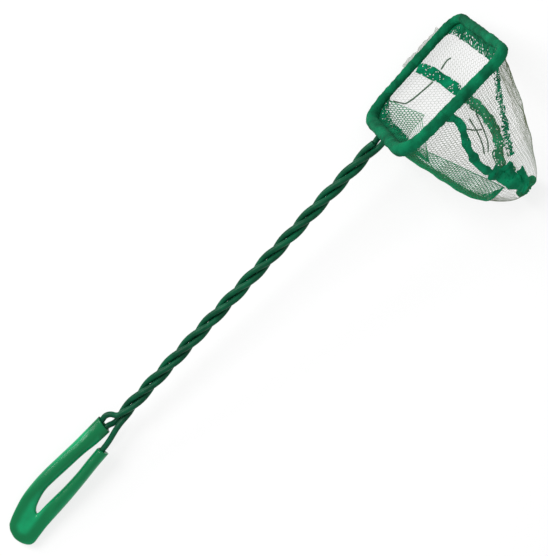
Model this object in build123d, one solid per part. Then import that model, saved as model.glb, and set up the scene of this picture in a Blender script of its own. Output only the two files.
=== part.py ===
"""Aquarium fish net, lying on a table.

One length of plastic-coated steel wire makes the whole frame: a hanging loop, a handle of three
twisted strands and a rectangular mouth. A soft sleeve covers the loop. A bag of two net panels
hangs from a hem round the mouth and is closed by a seam down both faces and a bunched seam end.

Net frame: X along the handle towards the tip, Y across the mouth towards the side that lies on the
table, Z out of the mouth. The bag hangs towards -Z. The finished net is then laid on the table.
"""

import os
from math import atan, atan2, cos, degrees, dist, pi, radians, sin, sqrt, tan

from build123d import *

# Plastic-coated steel wire, over its coat
wire_diameter = 2.8

# Mouth frame, on the wire's centre line
mouth_length = 63.0
mouth_width_at_handle = 70.0
mouth_width_at_tip = 77.0
handle_corner_radius = 14.0
tip_corner_radius = 8.0
neck_length = 9.5
neck_half_width = 8.0

# Twisted handle
twist_length = 170.0
twist_full_turns = 5
strand_gap = 0.42
neck_phase = -19.0
strand_tip_length = 3.0

# Hanging loop, measured from the end of the twist, and across the loop from the handle's axis
loop_length = 79.8
loop_upper_side = 6.2
loop_upper_widest_at = 50.0
loop_lower_side = -5.3
loop_lower_widest_at = 42.0
loop_end_offset = -2.2
bend_radius = 5.4
bend_upper_slant = 14.0
bend_lower_slant = 5.0
sleeve_diameter = 6.5
sleeve_bore = 3.4
sleeve_lower_end_at = 18.6
sleeve_lower_end_side = -4.4
sleeve_lower_end_slant = 3.0
kink_from = 61.8
kink_thickness = 4.4

# Eye of wire that the sleeve's upper end is pushed over
eye_spacing = 3.6
eye_bend_at = 13.4
eye_leg_at = 9.5
eye_side = 3.4
eye_spread_at = 4.5
eye_upper_spread = (5.1, 0.9)
eye_lower_spread = (0.2, -1.8)
cuff_length = 8.0
cuff_taper = 3.5
cuff_at = 9.5
cuff_clearance = 0.35
cuff_headroom = 0.5
cuff_wall = 0.8

# Net bag
hem_diameter = 4.8
hem_clearance = 0.15
hem_neck_gap = 0.5
net_thickness = 0.8
sewing_gap = 0.3
bag_depth = 71.5
bag_end_x = -4.8
bag_end_length = 12.0
bag_end_height = 9.6
bag_end_corner = 3.6
handle_side_fullness = 1.5
tip_side_fullness = 1.05
top_fullness = 1.0
opening_pitch = 6.4
opening_size = 4.4
opening_margin = 2.4
seam_near_x = -6.0
seam_far_x = 2.0
seam_width = 3.0
seam_thickness = 1.4
gather_width = 14.0
gather_from = 54.0
gather_thickness = 1.5

# How the net lies on the table
lean = 69.0
table_clearance = 0.85

wire_radius = wire_diameter / 2
handle_side_x = -mouth_length / 2
tip_side_x = mouth_length / 2
neck_x = handle_side_x - neck_length
loop_x = neck_x - twist_length
twist_angle = twist_full_turns * 360 - (lean + 180 - neck_phase)
twist_rate = radians(twist_angle) / twist_length
quarter_turns = round(twist_angle / 90)

# Three strands round the axis, a little further out because each one slants
upright_radius = (wire_diameter + strand_gap) / sqrt(3)
strand_slant = atan(upright_radius * twist_rate)
twist_radius = (wire_diameter / cos(strand_slant) + strand_gap) / sqrt(3)


def in_loop(along, across, height=0.0):
    """Point of the loop: along from the end of the twist, across and above the loop's plane."""
    turn = radians(lean)
    y = across * cos(turn) - height * sin(turn)
    z = across * sin(turn) + height * cos(turn)
    return Vector(loop_x - along, y, z)


def loop_direction(along, across):
    return in_loop(along, across) - in_loop(0, 0)


def strand(phase):
    """Knots of one twisted strand, from the loop to the neck."""
    knots = []
    for step in range(quarter_turns + 1):
        x = loop_x + twist_length * step / quarter_turns
        angle = radians(phase) + twist_rate * (x - neck_x)
        point = Vector(x, twist_radius * cos(angle), twist_radius * sin(angle))
        swing = twist_radius * twist_rate
        tangent = Vector(1, -swing * sin(angle), swing * cos(angle))
        knots.append((point, tangent.normalized()))
    return knots


def backwards(knots):
    return [(point, tangent * -1) for point, tangent in reversed(knots)]


def corner(before, at, after, radius):
    """Two knots where a bend of this radius leaves one straight and joins the next."""
    arrive = (at - before).normalized()
    leave = (after - at).normalized()
    reach = radius * tan(radians(arrive.get_angle(leave)) / 2)
    return [(at - arrive * reach, arrive), (at + leave * reach, leave)]


def biarc(start, end):
    """A straight edge, or two arcs, from one knot to the next with no kink."""
    (p0, t0), (p1, t1) = start, end
    chord = p1 - p0
    tangents = t0 + t1
    flat = 1e-6
    if t0.cross(chord).length < flat and t1.cross(chord).length < flat:
        return [Edge.make_line(p0, p1)]
    spread = 2 * (1 - t0.dot(t1))
    if spread < flat:
        reach = chord.dot(chord) / (4 * chord.dot(t1))
    else:
        along = chord.dot(tangents)
        reach = (sqrt(along * along + spread * chord.dot(chord)) - along) / spread
    middle = (p0 + p1 + (t0 - t1) * reach) * 0.5
    turned = (p1 - t1 * reach) - (p0 + t0 * reach)
    return [
        Edge.make_tangent_arc(p0, t0, middle),
        Edge.make_tangent_arc(middle, turned.normalized(), p1),
    ]


def path_of(knots):
    edges = []
    for start, end in zip(knots, knots[1:]):
        edges += biarc(start, end)
    return Wire(edges)


def tube(knots, radius, bore=0.0):
    """A round tube, or a rod where it has no bore, along the knots."""
    point, tangent = knots[0]
    section = Plane(origin=point, z_dir=tangent) * Circle(radius)
    if bore:
        section -= Plane(origin=point, z_dir=tangent) * Circle(bore)
    return sweep(section, path=path_of(knots))


# Wire: knots from the tip inside the sleeve, round the loop, handle, mouth and eye, to the neck
sleeve_top_at = cuff_at + cuff_length + cuff_taper
bend_centre_at = loop_length - sleeve_diameter / 2 - bend_radius


def bend_knot(turn):
    """Knot on the end bend, this many degrees on from where it would leave a straight upper leg."""
    out = sin(radians(turn))
    up = cos(radians(turn))
    point = in_loop(bend_centre_at + bend_radius * out, loop_end_offset + bend_radius * up)
    return (point, loop_direction(up, -out))


lower_leg_end = loop_direction(-cos(radians(sleeve_lower_end_slant)), sin(radians(sleeve_lower_end_slant)))
loop_knots = [
    (in_loop(sleeve_top_at, eye_side), loop_direction(1, 0)),
    (in_loop(loop_upper_widest_at, loop_upper_side), loop_direction(1, 0)),
    bend_knot(bend_upper_slant),
    bend_knot(90),
    bend_knot(180 + bend_lower_slant),
    (in_loop(loop_lower_widest_at, loop_lower_side), loop_direction(-1, 0)),
    (in_loop(sleeve_lower_end_at, sleeve_lower_end_side), lower_leg_end),
]

handle_y = mouth_width_at_handle / 2
tip_y = mouth_width_at_tip / 2
far_neck = Vector(handle_side_x, neck_half_width, 0)
far_handle = Vector(handle_side_x, handle_y, 0)
far_tip = Vector(tip_side_x, tip_y, 0)
near_tip = Vector(tip_side_x, -tip_y, 0)
near_handle = Vector(handle_side_x, -handle_y, 0)
near_neck = Vector(handle_side_x, -neck_half_width, 0)
across_mouth = Vector(0, 1, 0)
far_handle_bend = corner(far_neck, far_handle, far_tip, handle_corner_radius)
far_tip_bend = corner(far_handle, far_tip, near_tip, tip_corner_radius)
near_tip_bend = corner(far_tip, near_tip, near_handle, tip_corner_radius)
near_handle_bend = corner(near_tip, near_handle, near_neck, handle_corner_radius)
mouth_knots = [(far_neck, across_mouth)]
mouth_knots += far_handle_bend + far_tip_bend + near_tip_bend + near_handle_bend
mouth_knots.append((near_neck, across_mouth))

first_strand = strand(neck_phase)
short_strand = strand(neck_phase + 120)
last_strand = strand(neck_phase + 240)
upper_leg = eye_side + eye_spacing / 2
lower_leg = eye_side - eye_spacing / 2
upper_start = in_loop(eye_leg_at, upper_leg)
lower_end = in_loop(eye_leg_at, lower_leg)
into_eye = (upper_start - last_strand[0][0]).normalized()
out_of_eye = (short_strand[0][0] - lower_end).normalized()
eye_knots = [
    (in_loop(eye_spread_at, *eye_upper_spread), into_eye),
    (upper_start, loop_direction(1, 0)),
    (in_loop(eye_bend_at, upper_leg), loop_direction(1, 0)),
    (in_loop(eye_bend_at, lower_leg), loop_direction(-1, 0)),
    (lower_end, loop_direction(-1, 0)),
    (in_loop(eye_spread_at, *eye_lower_spread), out_of_eye),
]
tip_point, tip_tangent = short_strand[-1]
wire_knots = loop_knots + first_strand + mouth_knots + backwards(last_strand) + eye_knots
wire_knots += short_strand + [(tip_point + tip_tangent * strand_tip_length, tip_tangent)]

wire_frame = tube(wire_knots, wire_radius)

# Sleeve: a tube round the loop, opened into an oval cuff over the eye
cuff_axis = loop_direction(-1, 0)
cuff_across = loop_direction(0, 1)


def cuff_plane(at):
    return Plane(origin=in_loop(at, eye_side), x_dir=cuff_across, z_dir=cuff_axis)


def sleeve_solid(radius, half_width, half_height):
    """The sleeve's outside or its bore, with the cuff's half sizes."""
    round_end = cuff_plane(sleeve_top_at) * Circle(radius)
    oval = Ellipse(half_width, half_height)
    cuff_start = cuff_plane(cuff_at + cuff_length) * oval
    taper = loft([round_end.face(), cuff_start.face()], ruled=True)
    cuff = extrude(cuff_start, amount=cuff_length)
    return tube(loop_knots, radius) + taper + cuff


# Kink: inside the end bend the soft tube is pressed flat and fills the space between the legs
kink_corners = [
    (kink_from, loop_end_offset),
    (bend_centre_at, loop_end_offset + bend_radius),
    (bend_centre_at + bend_radius, loop_end_offset),
    (bend_centre_at, loop_end_offset - bend_radius),
]
kink_outline = [in_loop(along, across, -kink_thickness / 2) for along, across in kink_corners]
kink_face = make_face(Polyline(*kink_outline, close=True))
kink = extrude(kink_face, amount=kink_thickness, dir=in_loop(0, 0, 1) - in_loop(0, 0))

cuff_bore_width = (eye_spacing + wire_diameter) / 2 + cuff_clearance
cuff_bore_height = wire_radius + cuff_headroom
sleeve_outside = sleeve_solid(
    sleeve_diameter / 2, cuff_bore_width + cuff_wall, cuff_bore_height + cuff_wall
)
sleeve_inside = sleeve_solid(sleeve_bore / 2, cuff_bore_width, cuff_bore_height)
loop_sleeve = sleeve_outside + kink - sleeve_inside

# Hem: the net folded round the mouth wire, open at the neck and at the two seams
hem_radius = hem_diameter / 2
hem_bore = wire_radius + hem_clearance


def on_side(start, end, x):
    """Knot on a long side of the mouth at this place along the handle."""
    tangent = (end - start).normalized()
    return (start + tangent * ((x - start.X) / tangent.X), tangent)


def neck_knot(neck, side):
    return (neck + Vector(0, side * hem_neck_gap, 0), across_mouth)


half_gap = sewing_gap / 2
far_handle_knots = [neck_knot(far_neck, 1)] + far_handle_bend
far_handle_knots.append(on_side(far_handle, far_tip, seam_far_x - half_gap))
tip_knots = [on_side(far_handle, far_tip, seam_far_x + half_gap)] + far_tip_bend + near_tip_bend
tip_knots.append(on_side(near_tip, near_handle, seam_near_x + half_gap))
near_handle_knots = [on_side(near_tip, near_handle, seam_near_x - half_gap)] + near_handle_bend
near_handle_knots.append(neck_knot(near_neck, -1))
hem_handle_far = tube(far_handle_knots, hem_radius, hem_bore)
hem_tip = tube(tip_knots, hem_radius, hem_bore)
hem_handle_near = tube(near_handle_knots, hem_radius, hem_bore)

# The handle rises from the sleeve's end to the hem's lowest bend, so that both touch the table
touch = far_handle_bend[1][0]
hem_drop = touch.Y * sin(radians(lean)) + hem_radius
loop_end_x = loop_x - loop_length + sleeve_diameter / 2
slope = degrees(atan2(hem_drop - sleeve_diameter / 2, touch.X - loop_end_x))
mouth_height = sleeve_diameter / 2 - loop_end_x * sin(radians(slope))

# Bag: sections parallel to the mouth, drawn in towards the seam's end and laid on the table
bag_top = hem_radius + sewing_gap
section_shares = [0.0, 0.25, 0.48, 0.68, 0.84, 0.94, 1.0]


def table_y(x, depth):
    """Across the mouth, where the table lies under this place of the bag."""
    rise = mouth_height + x * sin(radians(slope))
    tilt = cos(radians(slope))
    sink = depth * tilt * cos(radians(lean))
    stack = seam_thickness + sewing_gap + table_clearance
    return (rise - sink) / (tilt * sin(radians(lean))) - stack


def drawn_in(start, end, share, fullness):
    """A size that goes from start to end in a full curve."""
    return end + (start - end) * (1 - share ** fullness) ** (1 / fullness)


def bag_sides(share):
    """Place along the handle, near edge and far edge of the bag's handle side and tip side."""
    depth = bag_top + (bag_depth - bag_top) * share
    slack = (1 - share) ** 2
    found = []
    sides = ((-1, handle_y, handle_side_fullness), (1, tip_y, tip_side_fullness))
    for side, mouth_y, fullness in sides:
        x = bag_end_x * share + side * drawn_in(mouth_length / 2, bag_end_length / 2, share, fullness)
        table = table_y(x, depth)
        under = table - slack * (table_y(x - bag_end_x * share, bag_top) - mouth_y)
        height = drawn_in(2 * mouth_y, bag_end_height, share, top_fullness)
        found.append((x, under - height, under))
    return found


def bag_section(share, grow):
    """One cross-section of the bag, grown outwards by this much."""
    depth = bag_top + (bag_depth - bag_top) * share
    (x0, near0, far0), (x1, near1, far1) = bag_sides(share)
    x0, near0, far0 = x0 - grow, near0 - grow, far0 + grow
    x1, near1, far1 = x1 + grow, near1 - grow, far1 + grow
    handle_round = handle_corner_radius + (bag_end_corner - handle_corner_radius) * share + grow
    tip_round = tip_corner_radius + (bag_end_corner - tip_corner_radius) * share + grow
    outline = FilletPolyline(
        (x0, near0), (x1, near1), (x1, far1), (x0, far0),
        radius=[handle_round, tip_round, tip_round, handle_round],
        close=True,
    )
    lift = -depth - (grow if share == 1.0 else 0)
    return (Pos(0, 0, lift) * make_face(outline)).face()


def bag_solid(grow):
    return loft([bag_section(share, grow) for share in section_shares], ruled=True)


# Seam plane: through the near seam and the far seam at the mouth, and the middle of the bag's end
near_seam_top = Vector(seam_near_x, -tip_y, 0)
far_seam_top = Vector(seam_far_x, tip_y, 0)
bag_end = Vector(bag_end_x, table_y(bag_end_x, bag_depth) - bag_end_height / 2, -bag_depth)
across_seam = (bag_end - near_seam_top).cross(far_seam_top - near_seam_top)
seam_plane = Plane(origin=near_seam_top, z_dir=across_seam)

# Openings: a plain grid through both faces and both sides that stands for the fine mesh
opening_rows = int((gather_from - bag_top) / opening_pitch)
opening_reach = 2 * mouth_width_at_tip


def spread(low, high):
    """Places of a row of openings between two edges."""
    room = high - low - 2 * opening_margin
    count = max(0, int((room - opening_size) / opening_pitch) + 1)
    first = (low + high) / 2 - (count - 1) * opening_pitch / 2
    return [first + opening_pitch * step for step in range(count)]


cutters = []
for row in range(opening_rows):
    opening_depth = bag_top + opening_pitch * (row + 0.5)
    opening_share = (opening_depth - bag_top) / (bag_depth - bag_top)
    (x0, near0, far0), (x1, near1, far1) = bag_sides(opening_share)
    handle_edge = (handle_corner_radius + (bag_end_corner - handle_corner_radius) * opening_share) / 2
    tip_edge = (tip_corner_radius + (bag_end_corner - tip_corner_radius) * opening_share) / 2
    for x in spread(x0 + handle_edge, x1 - tip_edge):
        cutters.append(Pos(x, 0, -opening_depth) * Box(opening_size, opening_reach, opening_size))
    for y in spread(near0 + handle_edge, far0 - handle_edge):
        cutters.append(Pos(x0, y, -opening_depth) * Box(mouth_length / 2, opening_size, opening_size))
    for y in spread(near1 + tip_edge, far1 - tip_edge):
        cutters.append(Pos(x1, y, -opening_depth) * Box(mouth_length / 2, opening_size, opening_size))

net_shell = bag_solid(0) - bag_solid(-net_thickness) - cutters
net_panel_handle = split(net_shell, seam_plane.offset(-half_gap), keep=Keep.BOTTOM)
net_panel_tip = split(net_shell, seam_plane.offset(half_gap), keep=Keep.TOP)

# Seams: bands on the outside of the bag, down each face to the bunched end
seam_clear = bag_solid(sewing_gap)
seam_reach = bag_depth * 4


def band(thickness, width, top, bottom):
    """What a slab along the seam leaves of a layer on the bag's outside."""
    layer = bag_solid(sewing_gap + thickness) - seam_clear
    slab = seam_plane * Box(seam_reach, seam_reach, width)
    stretch = Pos(0, 0, -(top + bottom) / 2) * Box(seam_reach, seam_reach, bottom - top)
    return layer & slab & stretch


seam_band = band(seam_thickness, seam_width, bag_top, gather_from - sewing_gap)
seam_near = split(seam_band, Plane.XZ, keep=Keep.TOP)
seam_far = split(seam_band, Plane.XZ, keep=Keep.BOTTOM)
seam_gather = band(gather_thickness, gather_width, gather_from, bag_depth * 2)

parts = {
    "wire_frame": wire_frame,
    "loop_sleeve": loop_sleeve,
    "hem_handle_far": hem_handle_far,
    "hem_tip": hem_tip,
    "hem_handle_near": hem_handle_near,
    "net_panel_handle": net_panel_handle,
    "net_panel_tip": net_panel_tip,
    "seam_near": seam_near,
    "seam_far": seam_far,
    "seam_gather": seam_gather,
}

# Lay the net on the table, with the middle of its box over the origin
laid = {name: Rot(Y=-slope) * Rot(X=-lean) * piece for name, piece in parts.items()}
boxes = [piece.bounding_box() for piece in laid.values()]
low = [min(tuple(box.min)[axis] for box in boxes) for axis in range(3)]
high = [max(tuple(box.max)[axis] for box in boxes) for axis in range(3)]
to_origin = Pos(-(low[0] + high[0]) / 2, -(low[1] + high[1]) / 2, -low[2])

os.makedirs("parts", exist_ok=True)
for name, piece in laid.items():
    export_step(to_origin * piece, f"parts/{name}.step")

# Wire's least gap to itself, and its volume against its section and length
wire_path = path_of(wire_knots)
wire_length = wire_path.length
sample_count = 900
samples = [tuple(wire_path.position_at(i / sample_count)) for i in range(sample_count + 1)]
apart = int(3 * wire_diameter / (wire_length / sample_count)) + 1
pairs = ((i, j) for i in range(sample_count + 1) for j in range(i + apart, sample_count + 1))
least = min(dist(samples[i], samples[j]) for i, j in pairs)
section_area = pi * wire_radius**2
print(f"wire length {wire_length:.1f} mm, least gap to itself {least - wire_diameter:.2f} mm")
print(f"wire volume {wire_frame.volume:.1f}, section times length {section_area * wire_length:.1f}")
print(f"handle slope {slope:.2f} degrees, mouth height {mouth_height:.1f} mm")
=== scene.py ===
"""Aquarium fish net: the finish of its wire and sleeve, its sewn mesh bag, and a plain white stage."""

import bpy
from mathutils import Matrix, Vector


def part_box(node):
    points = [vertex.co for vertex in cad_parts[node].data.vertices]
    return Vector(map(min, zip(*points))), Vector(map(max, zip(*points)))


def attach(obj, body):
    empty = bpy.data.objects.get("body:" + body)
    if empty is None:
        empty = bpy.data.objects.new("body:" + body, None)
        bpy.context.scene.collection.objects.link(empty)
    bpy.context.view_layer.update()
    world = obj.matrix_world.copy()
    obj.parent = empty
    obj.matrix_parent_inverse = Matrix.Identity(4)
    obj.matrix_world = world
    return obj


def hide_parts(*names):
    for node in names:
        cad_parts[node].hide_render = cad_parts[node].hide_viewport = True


bl_info = {
    "name": "Aquarium fish net",
    "version": (1, 0, 0),
    "blender": (4, 5, 0),
    "location": "View3D > Sidebar > Fish Net",
    "description": "Dresses the wire frame of a fish net with its hem, mesh bag, seams and finishes",
    "category": "Add Mesh",
}

from math import acos, atan2, copysign, cos, pi, radians, sin, sqrt, tan

import bpy
import numpy as np
from bpy.props import FloatProperty, FloatVectorProperty, IntProperty, PointerProperty
from mathutils import Vector, noise

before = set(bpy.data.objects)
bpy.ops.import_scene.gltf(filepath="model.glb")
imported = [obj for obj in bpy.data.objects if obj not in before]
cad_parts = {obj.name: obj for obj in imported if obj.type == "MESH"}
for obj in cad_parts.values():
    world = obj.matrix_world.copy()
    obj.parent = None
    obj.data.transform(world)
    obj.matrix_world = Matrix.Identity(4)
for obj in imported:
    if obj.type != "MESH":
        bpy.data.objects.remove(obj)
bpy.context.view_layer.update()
BODY = "root"
HEM_NODES = ("hem_handle_far", "hem_tip", "hem_handle_near")


def length(name, description, default):
    """A size in metres."""
    return FloatProperty(name=name, description=description, default=default, unit="LENGTH", precision=5)


def angle(name, description, default):
    """An angle, given in degrees."""
    return FloatProperty(
        name=name, description=description, default=radians(default), subtype="ANGLE", unit="ROTATION"
    )


def number(name, description, default):
    """A plain number."""
    return FloatProperty(name=name, description=description, default=default, precision=4)


def colour(name, description, default):
    """A colour in linear light."""
    return FloatVectorProperty(
        name=name, description=description, default=default, subtype="COLOR", size=3, min=0.0, max=1.0
    )


class MouthSizes(bpy.types.PropertyGroup):
    """The wire mouth and how the net lies on the table."""

    mouth_length: length("Mouth length", "Along the handle, on the wire's centre line", 0.063)
    width_at_handle: length("Width at handle", "Across the mouth at the handle's end", 0.070)
    width_at_tip: length("Width at tip", "Across the mouth at the far end", 0.077)
    handle_corner: length("Handle corner", "Bend radius of the two corners at the handle", 0.014)
    tip_corner: length("Tip corner", "Bend radius of the two corners at the tip", 0.008)
    lean: angle("Lean", "How far the mouth is turned up on its side", 69.0)
    slope: angle("Slope", "Rise of the handle towards the mouth", 6.88)


class SleeveSizes(bpy.types.PropertyGroup):
    """The vinyl sleeve on the hanging loop."""

    loop_start: length("Loop start", "End of the twist, from the mouth's middle along the handle", -0.211)
    half_height: length("Half height", "Half the height of the tube", 0.0032)
    kinked_half_height: length("Kinked half height", "Half the height where the end bend is flat", 0.0022)
    bore: length("Bore", "Radius of the bore", 0.0017)
    cuff_half_width: length("Cuff half width", "Half the width of the cuff over the eye", 0.0043)
    cuff_half_height: length("Cuff half height", "Half the height of the cuff over the eye", 0.0028)
    kink_from: length("Kink from", "Where the tube starts to flatten, from the end of the twist", 0.0540)
    eye_reach: length("Eye reach", "Where the eye's end lies, from the end of the twist", 0.0112)
    core_inside: length("Core inside", "Radius round the wire where the dark core starts to fade", 0.0010)
    core_outside: length("Core outside", "Radius round the wire where the dark core is gone", 0.0038)


class BagSizes(bpy.types.PropertyGroup):
    """The bag that hangs from the mouth."""

    depth: length("Depth", "From the mouth to the bag's end", 0.0715)
    top: length("Top", "Depth at which the panels leave the hem", 0.0015)
    end_x: length("End offset", "The bag's end along the handle, from the mouth's middle", -0.0048)
    end_length: length("End length", "Length of the bag's end along the handle", 0.012)
    end_height: length("End height", "Height of the bag's end", 0.0096)
    end_corner: length("End corner", "Corner radius at the bag's end", 0.0036)
    handle_fullness: number("Handle fullness", "How full the handle side is before it draws in", 1.63)
    tip_fullness: number("Tip fullness", "How full the tip side is before it draws in", 1.28)
    tip_slack: length("Tip slack", "Extra rounding of the slack tip side, a quarter of the way down", 0.008)
    top_fullness: number("Top fullness", "How full the upper face is before it draws in", 1.0)
    table_stack: length("Table clearance", "Cloth, seam and air under the bag", 0.00255)


class MeshSizes(bpy.types.PropertyGroup):
    """Net cloth."""

    cell: length("Cell", "Distance between neighbouring holes of the net", 0.00160)
    fold_cell: length("Fold cell", "Distance between holes where the net lies folded", 0.00145)
    fold_strand: length("Fold strand", "Thickness of a strand where the net lies folded", 0.00040)
    strand: length("Strand", "Thickness of one strand of the net", 0.00021)
    far_share: number("Far share", "Strand thickness on the table side, as a share", 0.45)
    fold_height: length("Fold height", "Height of the folds in the bag", 0.0014)
    fold_count: number("Fold count", "Folds round the bag's end, in waves per turn", 15.0)
    hem_diameter: length("Hem diameter", "The folded hem round the wire", 0.0044)
    seam_width: length("Seam width", "Width of the near seam", 0.0036)
    bar_width: length("Bar width", "Width of the far seam", 0.0050)
    fleck: length("Fleck", "Distance between the threads of bunched net", 0.00045)
    seed: IntProperty(name="Seed", description="Start of the frayed edges' random numbers", default=7)


class Finishes(bpy.types.PropertyGroup):
    """Colours of the pieces."""

    wire: colour("Wire coat", "Dark green plastic", (0.0008, 0.064, 0.027))
    sleeve: colour("Sleeve", "Green vinyl", (0.001, 0.245, 0.092))
    sleeve_core: colour("Sleeve core", "Green vinyl over the wire", (0.000, 0.130, 0.042))
    hem: colour("Hem", "Folded net", (0.001, 0.100, 0.043))
    net: colour("Net", "Single strands", (0.104, 0.124, 0.056))
    fold: colour("Fold", "Strands of folded net", (0.004, 0.260, 0.115))
    crease: colour("Crease", "Strands drawn together in a crease", (0.080, 0.135, 0.090))
    seam: colour("Seam", "Bunched net", (0.001, 0.158, 0.070))
    floor: colour("Floor", "Table top", (0.90, 0.90, 0.90))


class StageSizes(bpy.types.PropertyGroup):
    """Camera, floor and lights."""

    camera_back: length("Camera back", "From the mouth's middle towards the loop", 0.1140)
    camera_aside: length("Camera aside", "From the mouth's middle towards the bag", 0.0079)
    camera_height: length("Camera height", "Above the table", 0.900)
    camera_turn: angle("Camera turn", "Turn of the picture", -46.8)
    view_height: length("View height", "Height of the picture on the table", 0.2638)
    floor_size: length("Floor size", "Side of the floor", 4.0)
    sky_strength: number("Sky strength", "Even light from all round", 0.77)
    key_power: number("Key power", "Large lamp beyond the mouth, in watts", 6.5)
    strip_power: number("Strip power", "Narrow low lamp beyond the handle, in watts", 2.4)


class FishNet(bpy.types.PropertyGroup):
    """All settings of the fish net."""

    mouth: PointerProperty(type=MouthSizes)
    sleeve: PointerProperty(type=SleeveSizes)
    bag: PointerProperty(type=BagSizes)
    mesh: PointerProperty(type=MeshSizes)
    finish: PointerProperty(type=Finishes)
    stage: PointerProperty(type=StageSizes)


def settings():
    """The settings of this scene's fish net."""
    return bpy.context.scene.fish_net


# Seams and folds of the lying bag: share of the bag's depth, and place along the handle
NEAR_SEAM = (
    (0.00, -0.0066), (0.08, -0.0048), (0.15, -0.0053), (0.23, -0.0080), (0.34, -0.0110),
    (0.49, -0.0130), (0.62, -0.0117), (0.76, -0.0102), (0.90, -0.0072), (1.00, -0.0055),
)
FAR_SEAM = (
    (0.00, 0.0008), (0.09, 0.0032), (0.20, 0.0052), (0.33, 0.0059), (0.45, 0.0067),
    (0.55, 0.0061), (0.65, 0.0042), (0.72, 0.0007), (0.76, -0.0036), (0.83, -0.0058),
    (0.92, -0.0047), (1.00, -0.0048),
)
CORNER_FOLD = (
    (0.00, 0.0234), (0.13, 0.0183), (0.25, 0.0140), (0.39, 0.0093), (0.52, 0.0048),
    (0.67, 0.0002),
)
HANDLE_FOLD = ((0.00, -0.0250), (0.22, -0.0215), (0.41, -0.0185), (0.67, -0.0143), (0.80, -0.0125))
LONG_CREASE = (
    (0.034, -0.0187), (0.071, -0.0172), (0.105, -0.0157), (0.120, -0.0120), (0.129, -0.0080),
    (0.134, -0.0033), (0.143, 0.0016),
)
SHORT_CREASE = ((0.129, 0.0075), (0.122, 0.0104), (0.119, 0.0127), (0.129, 0.0153))
FIRST_WRINKLE = ((0.144, -0.0006), (0.263, -0.0022), (0.383, -0.0046), (0.478, -0.0076))
SECOND_WRINKLE = ((0.158, 0.0031), (0.277, 0.0009), (0.398, -0.0021), (0.486, -0.0060))
CROSS_WRINKLE = ((0.192, -0.0050), (0.250, -0.0029), (0.296, -0.0001))
GATHER_SPINE = ((0.60, -0.0112), (0.70, -0.0100), (0.80, -0.0086), (0.90, -0.0068), (0.97, -0.0052))
GATHER_BACK = ((0.66, -0.0048), (0.76, -0.0062), (0.86, -0.0060), (0.95, -0.0040))
GATHER_KNOB = ((0.79, -0.0012), (0.85, -0.0018), (0.93, -0.0034))
TUCK_EDGE = ((0.00, -0.0200), (0.25, -0.0130))

# Wire and outlines of the sleeve: along from the end of the twist, and across from the handle's axis
SLEEVE_LINE = (
    (0.0095, 0.0034), (0.0210, 0.0034), (0.0355, 0.0048), (0.0500, 0.0062), (0.0620, 0.0054),
    (0.0725, 0.0030), (0.0750, 0.0016), (0.0766, -0.0022), (0.0750, -0.0060), (0.0707, -0.0076),
    (0.0560, -0.0060), (0.0420, -0.0053), (0.0300, -0.0051), (0.0186, -0.0044),
)
SLEEVE_OUTER = (
    (0.0080, 0.0075), (0.0170, 0.0077), (0.0262, 0.0080), (0.0358, 0.0086), (0.0454, 0.0091),
    (0.0532, 0.0090), (0.0604, 0.0083), (0.0671, 0.0067), (0.0735, 0.0045), (0.0766, 0.0023),
    (0.0779, -0.0001), (0.0786, -0.0030), (0.0780, -0.0066), (0.0763, -0.0096), (0.0739, -0.0109),
    (0.0698, -0.0106), (0.0635, -0.0100), (0.0545, -0.0098), (0.0451, -0.0095), (0.0354, -0.0089),
    (0.0264, -0.0082), (0.0181, -0.0078),
)
SLEEVE_INNER = (
    (0.0100, -0.0012), (0.0180, -0.0006), (0.0265, 0.0006), (0.0360, 0.0013), (0.0450, 0.0020),
    (0.0509, 0.0022), (0.0557, 0.0014), (0.0598, 0.0001), (0.0617, -0.0011), (0.0622, -0.0018),
    (0.0623, -0.0020), (0.0624, -0.0021), (0.0624, -0.0023), (0.0622, -0.0025), (0.0617, -0.0026),
    (0.0602, -0.0027), (0.0570, -0.0027), (0.0510, -0.0029), (0.0440, -0.0032), (0.0350, -0.0031),
    (0.0270, -0.0025), (0.0197, -0.0021),
)

# The bag and the folds of its net
RING_CROWDING = 1.5  # above 1, the bag's rings lie closer together towards its end
FOLD_MEETING = 1.05  # where the folds run together, in bag depths from the mouth
FOLD_RISE = 0.8  # below 1, the folds are highest nearer to the mouth than to the end
FOLD_SWAY = 1.7  # how far the folds wander, in radians of their own wave
SWAY_COUNT = 5.0  # how often they wander, in waves per turn
WAVE_SHARE = 0.55  # part of the folds' height that is in even waves
LOOSE_SHARE = 0.9  # part that is in loose cloth
FINE_SHARE = 0.35  # part that is in fine creases
LOOSE_WAVES = 70.0  # waves of noise per metre, as in all names that end in WAVES
FINE_WAVES = 190.0
SPARE_COLUMNS = 4  # of the hexagon net, past the panel's borders
TIP_THINNING = 0.45  # share that strands lose where the net faces the tip
END_THINNING = 0.40  # share that strands lose at the bag's end
END_THINNING_FROM = 0.75  # share of the bag's depth where that starts
FOLD_END = 0.006  # end of the folded net, as a length round the bag
TUCK_START = -0.016  # start of the tucked net, as a length round the bag
LAYER_RISE = 1 / 12  # share of the bag's depth over which folded net leaves the panel

# Bunched net
BUMP_SHARE = 0.6
BUMP_WAVES = 420.0
RIBBON_STEPS = 40  # points for each knot of a path
RIBBON_EASING = 14  # points over which a path's corners are rounded off
RIBBON_LEAST_COLUMNS = 4
RIBBON_RIM = 0.35  # height at a ribbon's rim and fraying in its middle, as shares of the most
RIBBON_WAVER = 0.45  # share by which a ribbon's width wavers
RIBBON_WAVER_WAVES = 260.0
RIBBON_WIDE_SHARE = 0.8
RIBBON_WIDE_WAVES = 170.0
SEAM_THICKNESS = 0.0005
FOLD_THICKNESS = 0.0003

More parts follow.
